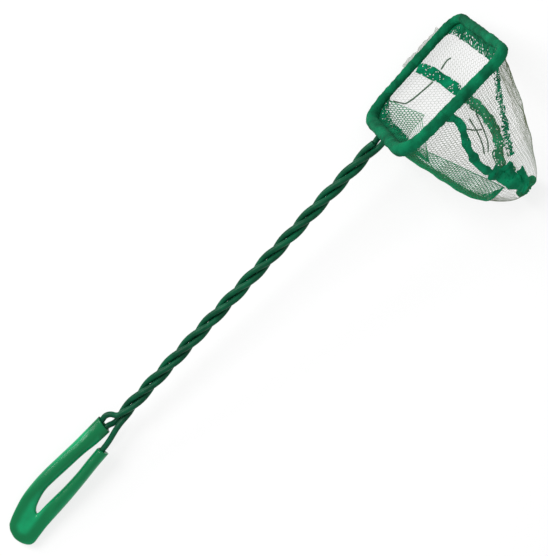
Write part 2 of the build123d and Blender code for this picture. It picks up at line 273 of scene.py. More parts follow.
# The sleeve
SLEEVE_SIDES = 40
KINK_LENGTH = 0.010  # over which the tube flattens
KINK_POWER = 0.6  # roundness of the flattened section, 1 for an ellipse
CUFF_END = 0.0225  # from the end of the twist
CUFF_FADE = 0.006  # over which the cuff passes into the tube
CUFF_WALL = 0.0008
DENT_DEPTH = 0.00014
DENT_WAVES = 240.0
DENT_RISE = 0.003  # sets the dents on top apart from those below
CORE_NARROWING = 0.6  # how fast the dark core narrows past the eye

# The hem, with its swelling near the handle and its sagging on the near side
HEM_MEETING = 0.0085  # where the hem's two ends meet, from the handle's middle
HEM_SIDES = 20
HEM_STEP = 0.0007  # between rings
HEM_LOOK_BACK = 0.0005  # from a ring to the point that gives its direction
HEM_SWELL = 0.0007
HEM_SWELL_X = (-0.024, -0.030)  # where the swelling starts and where it is full
HEM_SAG = 0.0009
HEM_SAG_Y = (-0.018, -0.026)  # where the sagging starts and where it is full
HEM_DENT = 0.00035  # deepest dent, so that the wire stays covered
LUMP_HEIGHT = 0.00032
LUMP_WAVES = 520.0
WIDE_LUMP_HEIGHT = 0.00026
WIDE_LUMP_WAVES = 90.0

# The hem's loose edge: at least, and what is added at the tip and at the handle
EDGE_DOWN = (0.0004, 0.0032, 0.0034)
EDGE_INWARD = (0.0002, 0.0060, 0.0054)
EDGE_TIP_X = (0.020, 0.030)  # where the wider edge at the tip starts and where it is full
EDGE_HANDLE_X = (-0.018, -0.030)  # the same at the handle
EDGE_STEPS = 12
EDGE_SET_BACK = 0.0006
EDGE_ROUGHNESS = 0.0006
EDGE_FRAYING = 0.6  # share of flecks left out at the edge
EDGE_WAVER = 0.35
EDGE_WAVER_WAVES = 120.0
EDGE_WIDE_SHARE = 0.7
EDGE_WIDE_WAVES = 160.0
EDGE_THICKNESS = 0.00025

# The frill outside the hem
FRILL_BEFORE_SEAM = 0.004  # its start, from the far seam towards the handle
FRILL_BEFORE_TIP = 0.010  # its end, from the tip towards the handle
FRILL_STEP = 0.0005
FRILL_CELL = 0.0004
FRILL_WIDTH = 0.0039
FRILL_STRAND = 0.7  # its strands' thickness, as a share of the panels'
FRILL_WAVER = 0.35
FRILL_WAVER_WAVES = 130.0
FRILL_TEETH = 0.25
FRILL_TEETH_WAVES = 420.0
FRILL_HEIGHT = 0.0009  # of its outer edge above the table
FRILL_RIPPLE = 0.0005
FRILL_RIPPLE_WAVES = 300.0

# The pleated net that closes the bag's end
CAP_RINGS = 10
CAP_SIDES = 70
CAP_CLOSING = 0.97  # share of the opening that is closed
CAP_BULGE = 0.0012
CAP_ROUGHNESS = 0.0006
CAP_WAVES = 300.0
CAP_DRIFT = 0.004  # sets the bumps of one ring apart from the next ring's
PLEAT_COUNT = 11
PLEAT_DEPTH = 0.0007
PLEAT_SWAY = 1.5  # how far the pleats wander, in radians of their own wave
PLEAT_SWAY_COUNT = 3

# The stage
FLOOR_GLOW = 0.72  # the floor's share of plain white
SENSOR_WIDTH = 36.0  # millimetres


def path_at(path, share):
    """Place along the handle at this share of the bag's depth."""
    shares, places = zip(*path)
    return np.interp(share, shares, places)


def drawn_in(start, end, share, fullness):
    """A size that goes from start to end in a full curve."""
    return end + (start - end) * (1 - share**fullness) ** (1 / fullness)


def ramp(values, start, end):
    """0 before start, 1 after end, and even in between."""
    return np.clip((values - start) / (end - start), 0, 1)


def between(first, second, share):
    """A value that goes smoothly from first to second as share goes from 0 to 1."""
    share = min(1.0, max(0.0, share))
    return first + (second - first) * share * share * (3 - 2 * share)


def eased(values, reach):
    """Values with their corners rounded off."""
    padded = np.concatenate((np.full(reach, values[0]), values, np.full(reach, values[-1])))
    return np.convolve(padded, np.ones(2 * reach + 1) / (2 * reach + 1), mode="valid")


def lengths_along(points):
    """Length along a line to each of its points."""
    return np.concatenate(((0.0,), np.cumsum(np.linalg.norm(np.diff(points, axis=0), axis=1))))


def line_at(lengths, along, points):
    """Points at these lengths along a line."""
    return np.column_stack([np.interp(lengths, along, column) for column in points.T])


def noise_at(points, waves, shift=(0, 0, 0)):
    """Smooth noise at each point."""
    return np.array([noise.noise(Vector(point) * waves + Vector(shift)) for point in points])


def rounded(corners, radii, steps=12):
    """Outline with each corner replaced by an arc."""
    points = []
    count = len(corners)
    for index in range(count):
        at = np.array(corners[index])
        before = np.array(corners[index - 1]) - at
        after = np.array(corners[(index + 1) % count]) - at
        before = before / np.linalg.norm(before)
        after = after / np.linalg.norm(after)
        half = acos(np.dot(before, after)) / 2
        middle = (before + after) / np.linalg.norm(before + after)
        centre = at + middle * radii[index] / sin(half)
        start = at + before * radii[index] / tan(half) - centre
        end = at + after * radii[index] / tan(half) - centre
        first = atan2(start[1], start[0])
        turn = (atan2(end[1], end[0]) - first + pi) % (2 * pi) - pi
        for step in np.linspace(0, 1, steps):
            way = first + turn * step
            points.append(centre + radii[index] * np.array((cos(way), sin(way))))
    return points


def turned(points):
    """Points of the net's own frame, turned as the net lies on the table."""
    size = settings().mouth
    x, y, z = np.asarray(points, dtype=float).T
    lean, slope = -size.lean, -size.slope
    y, z = y * cos(lean) - z * sin(lean), y * sin(lean) + z * cos(lean)
    x, z = x * cos(slope) + z * sin(slope), -x * sin(slope) + z * cos(slope)
    return np.column_stack((x, y, z))


def mouth_outline():
    """The mouth's wire in its own plane, from the handle's middle over the far side to the tip and back."""
    size = settings().mouth
    half = size.mouth_length / 2
    handle, tip = size.width_at_handle / 2, size.width_at_tip / 2
    corners = [(-half, handle), (half, tip), (half, -tip), (-half, -handle)]
    radii = [size.handle_corner, size.tip_corner, size.tip_corner, size.handle_corner]
    points = [(-half, 0.0), *rounded(corners, radii), (-half, 0.0)]
    return np.column_stack((np.array(points), np.zeros(len(points))))


def mouth_centre():
    """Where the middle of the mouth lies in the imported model."""
    boxes = [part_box(node) for node in HEM_NODES]
    low = np.min([box[0] for box in boxes], axis=0)
    high = np.max([box[1] for box in boxes], axis=0)
    outline = turned(mouth_outline())
    return (low + high) / 2 - (outline.min(axis=0) + outline.max(axis=0)) / 2


def laid(points, floor=0.0004):
    """Points of the net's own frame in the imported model's frame, kept above the table."""
    placed = turned(points) + mouth_centre()
    placed[:, 2] = np.maximum(placed[:, 2], floor)
    return placed


class Bag:
    """The bag's surface: rings of points, found by share of depth and by length round the ring."""

    def __init__(self, ring_count=140):
        self.mouth_height = mouth_centre()[2]
        even = np.linspace(0, 1, ring_count)
        self.shares = 1 - (1 - even) ** RING_CROWDING
        self.rings = [self.ring(share) for share in self.shares]
        marks = []
        for ring, share in zip(self.rings, self.shares):
            arcs = (0.0, ring["tip"], self.far_arc(ring, path_at(FAR_SEAM, share)),
                    self.near_arc(ring, path_at(NEAR_SEAM, share)))
            marks.append([self.on_ring(ring, np.array([arc]))[0][0] for arc in arcs])
        steps = np.linalg.norm(np.diff(np.array(marks), axis=0), axis=2).mean(axis=1)
        self.down = np.concatenate(((0.0,), np.cumsum(steps)))

    def table_y(self, x, depth):
        """Where the bag meets the table, across the mouth."""
        mouth, bag = settings().mouth, settings().bag
        height = self.mouth_height + x * sin(mouth.slope)
        sink = depth * cos(mouth.slope) * cos(mouth.lean)
        return (height - sink) / (cos(mouth.slope) * sin(mouth.lean)) - bag.table_stack

    def ring(self, share):
        """One section of the bag: a closed line, its lengths, outward directions and place of the tip."""
        mouth, bag = settings().mouth, settings().bag
        depth = bag.top + (bag.depth - bag.top) * share
        sides = []
        for side, width, fullness in (
            (-1, mouth.width_at_handle, bag.handle_fullness),
            (1, mouth.width_at_tip, bag.tip_fullness),
        ):
            x = bag.end_x * share
            x += side * drawn_in(mouth.mouth_length / 2, bag.end_length / 2, share, fullness)
            slack = (1 - share) ** 2
            under = self.table_y(x, depth)
            under -= slack * (self.table_y(x - bag.end_x * share, bag.top) - width / 2)
            height = drawn_in(width, bag.end_height, share, bag.top_fullness)
            sides.append((x, under - height, under))
        (x0, near0, far0), (x1, near1, far1) = sides
        handle_round = mouth.handle_corner + (bag.end_corner - mouth.handle_corner) * share
        tip_round = mouth.tip_corner + (bag.end_corner - mouth.tip_corner) * share
        tip_round += bag.tip_slack * sin(pi * sqrt(share))
        corners = [(x0, far0), (x1, far1), (x1, near1), (x0, near0)]
        outline = rounded(corners, [handle_round, tip_round, tip_round, handle_round])
        start = (x0, (near0 + far0) / 2)
        half_way = len(outline) // 2
        tip = (x1, (near1 + far1) / 2)
        points = np.array([start, *outline[:half_way], tip, *outline[half_way:], start])
        arcs = lengths_along(points)
        ahead = np.roll(points[:-1], -1, axis=0) - np.roll(points[:-1], 1, axis=0)
        ahead = np.vstack((ahead, ahead[:1]))
        ahead /= np.linalg.norm(ahead, axis=1)[:, None]
        outward = np.column_stack((-ahead[:, 1], ahead[:, 0]))
        total = arcs[-1]
        return {
            "arcs": np.concatenate((arcs[:-1] - total, arcs[:-1], arcs + total)),
            "points": np.vstack((points[:-1], points[:-1], points)),
            "outward": np.vstack((outward[:-1], outward[:-1], outward)),
            "z": -depth,
            "total": total,
            "tip": arcs[half_way + 1],
            "line": (arcs, points),
        }

    def far_arc(self, ring, x):
        """Length round the ring to this place on the table side."""
        arcs, points = ring["line"]
        part = arcs <= ring["tip"]
        return np.interp(x, points[part, 0], arcs[part])

    def near_arc(self, ring, x):
        """Length round the ring to this place on the upper side."""
        arcs, points = ring["line"]
        part = arcs >= ring["tip"]
        return np.interp(-x, -points[part, 0], arcs[part])

    def on_ring(self, ring, arcs):
        """Points and outward directions at these lengths round one ring."""
        spots = [np.interp(arcs, ring["arcs"], ring["points"][:, axis]) for axis in (0, 1)]
        facing = [np.interp(arcs, ring["arcs"], ring["outward"][:, axis]) for axis in (0, 1)]
        flat = np.zeros(len(arcs))
        return np.column_stack((*spots, flat + ring["z"])), np.column_stack((*facing, flat))

    def at(self, shares, arcs):
        """Points and outward directions at these shares of depth and lengths round the ring."""
        shares, arcs = np.broadcast_arrays(np.asarray(shares, dtype=float), np.asarray(arcs, dtype=float))
        steps = np.interp(shares, self.shares, np.arange(len(self.shares)))
        index = np.minimum(steps.astype(int), len(self.shares) - 2)
        part = (steps - index)[:, None]
        points, facing = np.zeros((len(arcs), 3)), np.zeros((len(arcs), 3))
        for ring in np.unique(index):
            chosen = index == ring
            first, second = (self.on_ring(self.rings[ring + step], arcs[chosen]) for step in (0, 1))
            share = part[chosen]
            points[chosen] = first[0] * (1 - share) + second[0] * share
            facing[chosen] = first[1] * (1 - share) + second[1] * share
        return points, facing

    def arc_at(self, find, share, x):
        """Length round the bag to this place along the handle, between the two nearest rings."""
        step = np.interp(share, self.shares, np.arange(len(self.shares)))
        index = min(int(step), len(self.shares) - 2)
        first, second = (find(self.rings[index + more], x) for more in (0, 1))
        return first + (second - first) * (step - index)

    def border(self, find, path):
        """Length round each ring to a seam."""
        return np.array([find(ring, path_at(path, share)) for ring, share in zip(self.rings, self.shares)])


def folded(points, facing, shares):
    """Net pushed into folds that run together at the bag's end."""
    mesh, bag = settings().mesh, settings().bag
    ways = np.arctan2(points[:, 0] - bag.end_x, bag.depth * FOLD_MEETING + points[:, 2])
    rise = np.sin(np.pi * np.clip(shares, 0, 1) ** FOLD_RISE)
    waves = np.sin(ways * mesh.fold_count + FOLD_SWAY * np.sin(ways * SWAY_COUNT))
    loose, fine = noise_at(points, LOOSE_WAVES), noise_at(points, FINE_WAVES)
    push = mesh.fold_height * rise * (WAVE_SHARE * waves + LOOSE_SHARE * loose + FINE_SHARE * fine)
    below = np.clip(facing[:, 1], 0, 1)
    push = push * (1 - below) - np.abs(push) * below
    return points + facing * push[:, None]


def add_piece(name, vertices, faces, material, replaced=()):
    """A mesh piece that rides on the net and takes its slot's finish."""
    mesh = bpy.data.meshes.new(name)
    mesh.from_pydata([tuple(vertex) for vertex in vertices], [], faces)
    mesh.update()
    mesh.materials.append(material)
    piece = bpy.data.objects.new(name, mesh)
    bpy.context.scene.collection.objects.link(piece)
    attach(piece, BODY)
    if replaced:
        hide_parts(*replaced)
    return piece


def thicken(piece, thickness):
    """Gives an open surface the thickness of cloth."""
    solid = piece.modifiers.new("thickness", "SOLIDIFY")
    solid.thickness = thickness
    solid.offset = 0.0


def add_strands(piece, weights, thickness):
    """Turns each edge of the net into a strand, thinner where the weight is low."""
    group = piece.vertex_groups.new(name="thickness")
    for index, weight in enumerate(weights):
        group.add([index], float(weight), "REPLACE")
    strands = piece.modifiers.new("strands", "WIREFRAME")
    strands.thickness = thickness
    strands.use_replace = True
    strands.use_boundary = True
    strands.use_even_offset = False
    strands.vertex_group = "thickness"
    strands.thickness_vertex_group = 0.0


def renumbered(faces):
    """The vertices that faces use, and the faces in the numbers of those alone."""
    used, fresh = np.unique(faces, return_inverse=True)
    return used, fresh.reshape(faces.shape).tolist()


def kept_faces(points, rows, columns, keep=True):
    """Vertices and faces of a grid of points, without the faces that aren't kept."""
    row, column = np.nonzero(np.broadcast_to(keep, (rows - 1, columns - 1)))
    first = row * columns + column
    used, faces = renumbered(first[:, None] + np.array((0, 1, columns + 1, columns)))
    return points[used], faces


def tube_faces(rings, sides, first=0):
    """Faces of a tube whose points follow each other ring by ring."""
    faces = []
    for ring in range(rings - 1):
        for step in range(sides):
            start = first + ring * sides
            here, other = start + step, start + (step + 1) % sides
            faces.append((here, other, other + sides, here + sides))
    return faces


def joined(parts):
    """Several sets of vertices and faces as one."""
    vertices, faces = [], []
    for more, sheets in parts:
        faces += [[index + len(vertices) for index in sheet] for sheet in sheets]
        vertices += list(more)
    return vertices, faces


def hexagons(bag, low, high, middle, cell):
    """Hexagon net between two borders: shares of depth, lengths round the bag, and faces."""
    edge = cell / sqrt(3)
    row_step, column_step = 1.5 * edge, cell / 2
    reach = max(np.max(middle - low), np.max(high - middle)) + cell
    columns = 2 * int(reach / column_step) + SPARE_COLUMNS
    rows = int(bag.down[-1] / row_step) + 1
    row, column = np.meshgrid(np.arange(rows), np.arange(columns), indexing="ij")
    across = (column - columns / 2) * cell / 2
    down = row * row_step + np.where((row + column) % 2 == 1, edge / 2, 0.0)
    shares = np.interp(down, bag.down, bag.shares)
    start = np.interp(shares, bag.shares, low)
    end = np.interp(shares, bag.shares, high)
    arcs = across + np.interp(shares, bag.shares, middle)
    inside = (arcs > start) & (arcs < end)
    arcs = np.clip(arcs, start, end)
    first = np.flatnonzero((row < rows - 1) & (column < columns - 2) & ((row + column) % 2 == 1))
    faces = first[:, None] + np.array((0, 1, 2, columns + 2, columns + 1, columns))
    used, faces = renumbered(faces[inside.ravel()[faces].any(axis=1)])
    return shares.ravel()[used], arcs.ravel()[used], faces


def bumps(points, seed, wide_waves, wide_share):
    """Fine and wide bumps of bunched net."""
    fine = noise_at(points, BUMP_WAVES, (seed, 0, 0))
    wide = noise_at(points, wide_waves, (0, seed, 0))
    return BUMP_SHARE * fine + wide_share * wide


def frayed_faces(points, rows, columns, keep, seed):
    """Vertices and faces of a grid of points, with flecks left out by chance."""
    chance = np.random.default_rng(seed).random((rows - 1, columns - 1))
    return kept_faces(points, rows, columns, chance < keep)


def ribbon(bag, find, path, width, lift, rough, frayed, seed):
    """Bunched net along a path on the bag: vertices and faces."""
    fleck = settings().mesh.fleck
    knots = np.array(path)
    count = len(knots)
    dense = np.linspace(0, count - 1, RIBBON_STEPS * count)
    dense_knots = (np.interp(dense, np.arange(count), column) for column in knots.T)
    shares, places = (eased(column, RIBBON_EASING) for column in dense_knots)
    arcs = np.array([bag.arc_at(find, share, place) for share, place in zip(shares, places)])
    lengths = lengths_along(bag.at(shares, arcs)[0])
    stations = np.arange(0, lengths[-1], fleck)
    shares = np.interp(stations, lengths, shares)
    arcs = np.interp(stations, lengths, arcs)
    spots, facing = bag.at(shares, arcs)
    spots = folded(spots, facing, shares)
    ahead = np.gradient(spots, axis=0)
    across = np.cross(facing, ahead)
    across /= np.linalg.norm(across, axis=1)[:, None]
    sides = np.linspace(-1, 1, max(RIBBON_LEAST_COLUMNS, int(width / fleck)))
    wander = [noise.noise(Vector((station * RIBBON_WAVER_WAVES, seed, 0.5))) for station in stations]
    waver = 1 + RIBBON_WAVER * np.array(wander)
    spread = (width / 2) * waver[:, None] * sides
    points = spots[:, None, :] + across[:, None, :] * spread[:, :, None]
    rows, columns = spread.shape
    crumple = bumps(points.reshape(-1, 3), seed, RIBBON_WIDE_WAVES, RIBBON_WIDE_SHARE)
    profile = RIBBON_RIM + (1 - RIBBON_RIM) * (1 - sides**2)
    height = lift * profile + rough * crumple.reshape(rows, columns)
    points = points + facing[:, None, :] * height[:, :, None]
    keep = 1.0 - frayed * (RIBBON_RIM + (1 - RIBBON_RIM) * abs(sides))[:-1]
    return frayed_faces(points.reshape(-1, 3), rows, columns, keep, seed)


def new_material(name):
    """A material with an empty node tree, and its output node."""
    material = bpy.data.materials.new(name)
    material.use_nodes = True
    material.node_tree.nodes.clear()
    output = material.node_tree.nodes.new("ShaderNodeOutputMaterial")
    return material, material.node_tree, output


def math_node(tree, operation, first, second):
    """The result of a sum on a socket and a second socket or a number."""
    node = tree.nodes.new("ShaderNodeMath")
    node.operation = operation
    tree.links.new(first, node.inputs[0])
    if isinstance(second, float):
        node.inputs[1].default_value = second
    else:
        tree.links.new(second, node.inputs[1])
    return node.outputs[0]


def floor_material(tint):
    """White to the camera and in reflections, with a share of real light that keeps the shadow."""
    material, tree, output = new_material("white_table")
    nodes, links = tree.nodes, tree.links
    lit = nodes.new("ShaderNodeBsdfDiffuse")
    lit.inputs["Color"].default_value = (*tint, 1)
    glow = nodes.new("ShaderNodeEmission")
    glow.inputs["Strength"].default_value = 1.0
    rays = nodes.new("ShaderNodeLightPath").outputs
    seen = math_node(tree, "MAXIMUM", rays["Is Camera Ray"], rays["Is Glossy Ray"])
    seen = math_node(tree, "MAXIMUM", seen, rays["Is Transmission Ray"])
    mix = nodes.new("ShaderNodeMixShader")
    links.new(math_node(tree, "MULTIPLY", seen, FLOOR_GLOW), mix.inputs["Fac"])
    links.new(lit.outputs[0], mix.inputs[1])
    links.new(glow.outputs[0], mix.inputs[2])
    links.new(mix.outputs[0], output.inputs["Surface"])
    return material


def new_surface(name, roughness, specular):
    """A material with one shader, its node tree and the shader."""
    material, tree, output = new_material(name)
    shader = tree.nodes.new("ShaderNodeBsdfPrincipled")
    shader.inputs["Roughness"].default_value = roughness
    shader.inputs["Specular IOR Level"].default_value = specular
    tree.links.new(shader.outputs["BSDF"], output.inputs["Surface"])
    return material, tree, shader


def own_noise(tree, scale, detail):
    """Noise over the piece's own coordinates."""
    place = tree.nodes.new("ShaderNodeTexCoord")
    clouds = tree.nodes.new("ShaderNodeTexNoise")
    clouds.inputs["Scale"].default_value = scale
    clouds.inputs["Detail"].default_value = detail
    tree.links.new(place.outputs["Object"], clouds.inputs["Vector"])
    return clouds.outputs["Fac"]


def mottle(tree, low, high, scale, detail, stops=(0.35, 0.65)):
    """Colour that wanders between two tints."""
    ramp_node = tree.nodes.new("ShaderNodeValToRGB")
    for element, stop, tint in zip(ramp_node.color_ramp.elements, stops, (low, high)):
        element.position = stop
        element.color = (*tint, 1)
    tree.links.new(own_noise(tree, scale, detail), ramp_node.inputs["Fac"])
    return ramp_node.outputs["Color"]


def roughen(tree, shader, scale, strength, distance):
    """Fine bumps on a surface."""
    bump = tree.nodes.new("ShaderNodeBump")
    bump.inputs["Strength"].default_value = strength
    bump.inputs["Distance"].default_value = distance
    tree.links.new(own_noise(tree, scale, detail=3.0), bump.inputs["Height"])
    tree.links.new(bump.outputs["Normal"], shader.inputs["Normal"])


def scaled(tint, factor):
    """A tint made darker or lighter."""
    return tuple(min(1.0, part * factor) for part in tint)


def coat_material(tint):
    """Satin dark green plastic with slight blotches and fine drawn grain."""
    material, tree, shader = new_surface("wire_coat", roughness=0.35, specular=0.11)
    blotches = mottle(tree, scaled(tint, 0.75), scaled(tint, 1.3), scale=180.0, detail=4.0)
    tree.links.new(blotches, shader.inputs["Base Color"])
    roughen(tree, shader, scale=1400.0, strength=0.25, distance=0.0001)
    return material


def vinyl_material(tint, core_tint):
    """Glossy soft vinyl, darker where the wire inside shows through."""
    material, tree, shader = new_surface("sleeve_vinyl", roughness=0.2, specular=0.20)
    depth = tree.nodes.new("ShaderNodeAttribute")
    depth.attribute_name = "core"
    mix = tree.nodes.new("ShaderNodeMixRGB")
    mix.inputs["Color2"].default_value = (*core_tint, 1.0)
    blotches = mottle(tree, scaled(tint, 0.85), scaled(tint, 1.15), scale=120.0, detail=3.0)
    tree.links.new(depth.outputs["Fac"], mix.inputs["Fac"])
    tree.links.new(blotches, mix.inputs["Color1"])
    tree.links.new(mix.outputs["Color"], shader.inputs["Base Color"])
    roughen(tree, shader, scale=260.0, strength=0.06, distance=0.0002)
    return material


def cloth_material(name, tint, spread, grain_scale):
    """Bunched green net: blotches of thin and thick cloth, and the bumps of its threads."""
    material, tree, shader = new_surface(name, roughness=0.85, specular=0.08)
    thin, thick = scaled(tint, 1 / spread), scaled(tint, spread)
    blotches = mottle(tree, thin, thick, scale=150.0, detail=6.0, stops=(0.32, 0.68))
    tree.links.new(blotches, shader.inputs["Base Color"])
    roughen(tree, shader, scale=grain_scale, strength=0.7, distance=0.0005)
    return material


def strand_material(name, tint):
    """Single nylon strands, a little greener in places."""
    material, tree, shader = new_surface(name, roughness=0.6, specular=0.2)
    greener = tuple(part * factor for part, factor in zip(tint, (0.55, 0.95, 0.75)))
    tree.links.new(mottle(tree, tint, greener, scale=90.0, detail=4.0), shader.inputs["Base Color"])
    return material


class FISHNET_OT_wire(bpy.types.Operator):
    """Give the coated wire its finish"""

    bl_idname = "fishnet.wire"
    bl_label = "Wire"

    def execute(self, context):
        finishes = bpy.data.objects["wire_frame"].data.materials
        finishes.clear()
        finishes.append(coat_material(settings().finish.wire))
        return {"FINISHED"}


def smooth_line(knots, steps):
    """A smooth line through flat points."""
    knots = np.array(knots)
    ends = np.vstack((2 * knots[0] - knots[1], knots, 2 * knots[-1] - knots[-2]))
    line = []
    for index in range(1, len(knots)):
        before, start, end, after = ends[index - 1 : index + 3]
        for step in np.linspace(0, 1, steps, endpoint=False):
            line.append(0.5 * (
                2 * start + (end - before) * step
                + (2 * before - 5 * start + 4 * end - after) * step**2
                + (3 * start - before - 3 * end + after) * step**3
            ))
    line.append(knots[-1])
    return np.array(line)


def in_loop(along, across, height):
    """Point of the loop in the net's own frame."""
    lean = settings().mouth.lean
    x = settings().sleeve.loop_start - along
    return (x, across * cos(lean) - height * sin(lean), across * sin(lean) + height * cos(lean))


def sleeve_rings():
    """The sleeve's outer and inner points, ring by ring, and how far the outer ones are from the wire."""
    size = settings().sleeve
    outer_line, inner_line = (smooth_line(outline, steps=10) for outline in (SLEEVE_OUTER, SLEEVE_INNER))
    route = smooth_line(SLEEVE_LINE, steps=40)
    travel = lengths_along(route)
    line = line_at(np.linspace(0, travel[-1], len(outer_line)), travel, route)
    ahead = np.gradient(line, axis=0)
    ahead /= np.linalg.norm(ahead, axis=1)[:, None]
    aside = np.column_stack((ahead[:, 1], -ahead[:, 0]))
    outer, inner, distances = [], [], []
    for index, (out_spot, in_spot) in enumerate(zip(outer_line, inner_line)):
        middle, half = (out_spot + in_spot) / 2, (in_spot - out_spot) / 2
        upper = index < len(outer_line) / 2
        kink = (max(out_spot[0], in_spot[0]) - size.kink_from) / KINK_LENGTH
        cuff = (CUFF_END - out_spot[0]) / CUFF_FADE if upper else 0.0
        height = between(size.half_height, size.kinked_half_height, kink)
        height = between(height, size.cuff_half_height, cuff)
        power = between(1.0, KINK_POWER, kink)
        bore_width = between(size.bore, size.cuff_half_width - CUFF_WALL, cuff)
        bore_height = between(size.bore, size.cuff_half_height - CUFF_WALL, cuff)
        for step in range(SLEEVE_SIDES):
            turn = 2 * pi * step / SLEEVE_SIDES
            reach = copysign(abs(cos(turn)) ** power, cos(turn))
            rise = copysign(abs(sin(turn)) ** power, sin(turn))
            place = middle + half * reach
            dent = DENT_DEPTH * noise.noise(Vector((*place, rise * DENT_RISE)) * DENT_WAVES)
            outer.append(in_loop(*place, (height + dent) * rise))
            distance = np.min(np.linalg.norm(route - place, axis=1))
            if upper:
                distance = min(distance, max(0.0, place[0] - size.eye_reach) * CORE_NARROWING)
            distances.append(distance)
            hole = line[index] + aside[index] * bore_width * cos(turn)
            inner.append(in_loop(*hole, bore_height * sin(turn)))
    return outer, inner, np.array(distances)


class FISHNET_OT_sleeve(bpy.types.Operator):
    """Add the soft vinyl sleeve, with its cuff over the eye and its kinked end bend"""

    bl_idname = "fishnet.sleeve"
    bl_label = "Sleeve"

    def execute(self, context):
        size, finish = settings().sleeve, settings().finish
        outer, inner, distances = sleeve_rings()
        sides, first = SLEEVE_SIDES, len(outer)
        rings, last = first // sides, first - sides
        faces = [(a, d, c, b) for a, b, c, d in tube_faces(rings, sides)]
        faces += tube_faces(rings, sides, first)
        for step in range(sides):
            other = (step + 1) % sides
            faces.append((step, other, first + other, first + step))
            faces.append((last + step, first + last + step, first + last + other, last + other))
        material = vinyl_material(finish.sleeve, finish.sleeve_core)
        vertices = laid(outer + inner, floor=0.0)
        piece = add_piece("sleeve_vinyl", vertices, faces, material, ("loop_sleeve",))
        piece.data.shade_smooth()
        clear = (distances - size.core_inside) / (size.core_outside - size.core_inside)
        depths = [between(1.0, 0.0, share) for share in clear]
        core = piece.data.attributes.new("core", "FLOAT", "POINT")
        core.data.foreach_set("value", depths + [1.0] * len(inner))
        return {"FINISHED"}


def on_mouth(lengths):
    """Points of the mouth's wire at these lengths round it."""
    outline = mouth_outline()
    along = lengths_along(outline)
    return line_at(lengths % along[-1], along, outline)


def arc_on_mouth(x, side):
    """Length round the mouth's wire to this place on its far (1) or near (-1) side."""
    outline = mouth_outline()
    along = lengths_along(outline)
    half = len(along) // 2
    part = slice(half) if side > 0 else slice(half, None)
    return np.interp(side * x, side * outline[part, 0], along[part])


def hem_tube(start, end, seed):
    """Folded net round part of the mouth's wire, as a tube with closed ends: vertices and faces."""
    radius, sides = settings().mesh.hem_diameter / 2, HEM_SIDES
    stations = np.linspace(start, end, int((end - start) / HEM_STEP) + 1)
    spots = on_mouth(stations)
    ahead = spots - on_mouth(stations - HEM_LOOK_BACK)
    ahead /= np.linalg.norm(ahead, axis=1)[:, None]
    outward = np.column_stack((-ahead[:, 1], ahead[:, 0], np.zeros(len(ahead))))
    vertices = []
    for spot, side in zip(spots, outward):
        swell = HEM_SWELL * ramp(spot[0], *HEM_SWELL_X)
        sag = HEM_SAG * between(0.0, 1.0, ramp(spot[1], *HEM_SAG_Y))
        for step in range(sides):
            way = 2 * pi * step / sides
            direction = side * cos(way) + np.array((0, 0, sin(way)))
            place = Vector(spot + direction * radius)
            lump = noise.noise(place * LUMP_WAVES + Vector((seed, 0, 0))) * LUMP_HEIGHT
            lump += noise.noise(place * WIDE_LUMP_WAVES + Vector((0, seed, 0))) * WIDE_LUMP_HEIGHT
            hang = np.array((0, 0, -sag * (1 - sin(way)) / 2))
            reach = radius + max(lump, -HEM_DENT) + swell
            vertices.append(spot + direction * reach + side * swell + hang)
    faces = tube_faces(len(spots), sides)
    faces.append(tuple(reversed(range(sides))))
    faces.append(tuple(range(len(vertices) - sides, len(vertices))))
    return vertices, faces


def loose_edge(bag):
    """Frayed net inside the hem, widest at the tip and at the handle: vertices and faces."""
    mesh, ring = settings().mesh, bag.rings[0]
    arcs = np.arange(0, ring["total"], mesh.fleck)
    steps = np.linspace(0, 1, EDGE_STEPS)
    spots, _ = bag.on_ring(ring, arcs)
    tip, handle = ramp(spots[:, 0], *EDGE_TIP_X), ramp(spots[:, 0], *EDGE_HANDLE_X)
    reach, inward = (
        least + at_tip * tip + at_handle * handle for least, at_tip, at_handle in (EDGE_DOWN, EDGE_INWARD)
    )
    reach *= 1 + EDGE_WAVER * noise_at(spots, EDGE_WAVER_WAVES)
    shares = np.interp(reach[:, None] * steps, bag.down, bag.shares)
    points, facing = bag.at(shares.ravel(), np.repeat(arcs, EDGE_STEPS))
    points = folded(points, facing, shares.ravel())
    lift = (-EDGE_SET_BACK - inward[:, None] * steps).ravel()
    lift += EDGE_ROUGHNESS * bumps(points, mesh.seed + 1, EDGE_WIDE_WAVES, EDGE_WIDE_SHARE)
    keep = 1.0 - EDGE_FRAYING * steps[:-1]
    return frayed_faces(points + facing * lift[:, None], len(arcs), EDGE_STEPS, keep, mesh.seed + 1)


class FISHNET_OT_hem(bpy.types.Operator):
    """Add the hem of folded net round the mouth, with the loose edge inside it"""

    bl_idname = "fishnet.hem"
    bl_label = "Hem"

    def execute(self, context):
        material = cloth_material("hem_cloth", settings().finish.hem, spread=1.6, grain_scale=900.0)
        total = lengths_along(mouth_outline())[-1]
        far = arc_on_mouth(FAR_SEAM[0][1], 1)
        near = arc_on_mouth(NEAR_SEAM[0][1], -1)
        spans = ((-HEM_MEETING, far), (far, near), (near, total - HEM_MEETING))
        for node, (start, end) in zip(HEM_NODES, spans):
            vertices, faces = hem_tube(start, end, settings().mesh.seed)
            piece = add_piece(f"{node}_cloth", laid(vertices, floor=0.0), faces, material, (node,))
            piece.data.shade_smooth()
        vertices, faces = loose_edge(Bag())
        edge = add_piece("hem_loose_edge", laid(vertices), faces, material)
        thicken(edge, EDGE_THICKNESS)
        return {"FINISHED"}


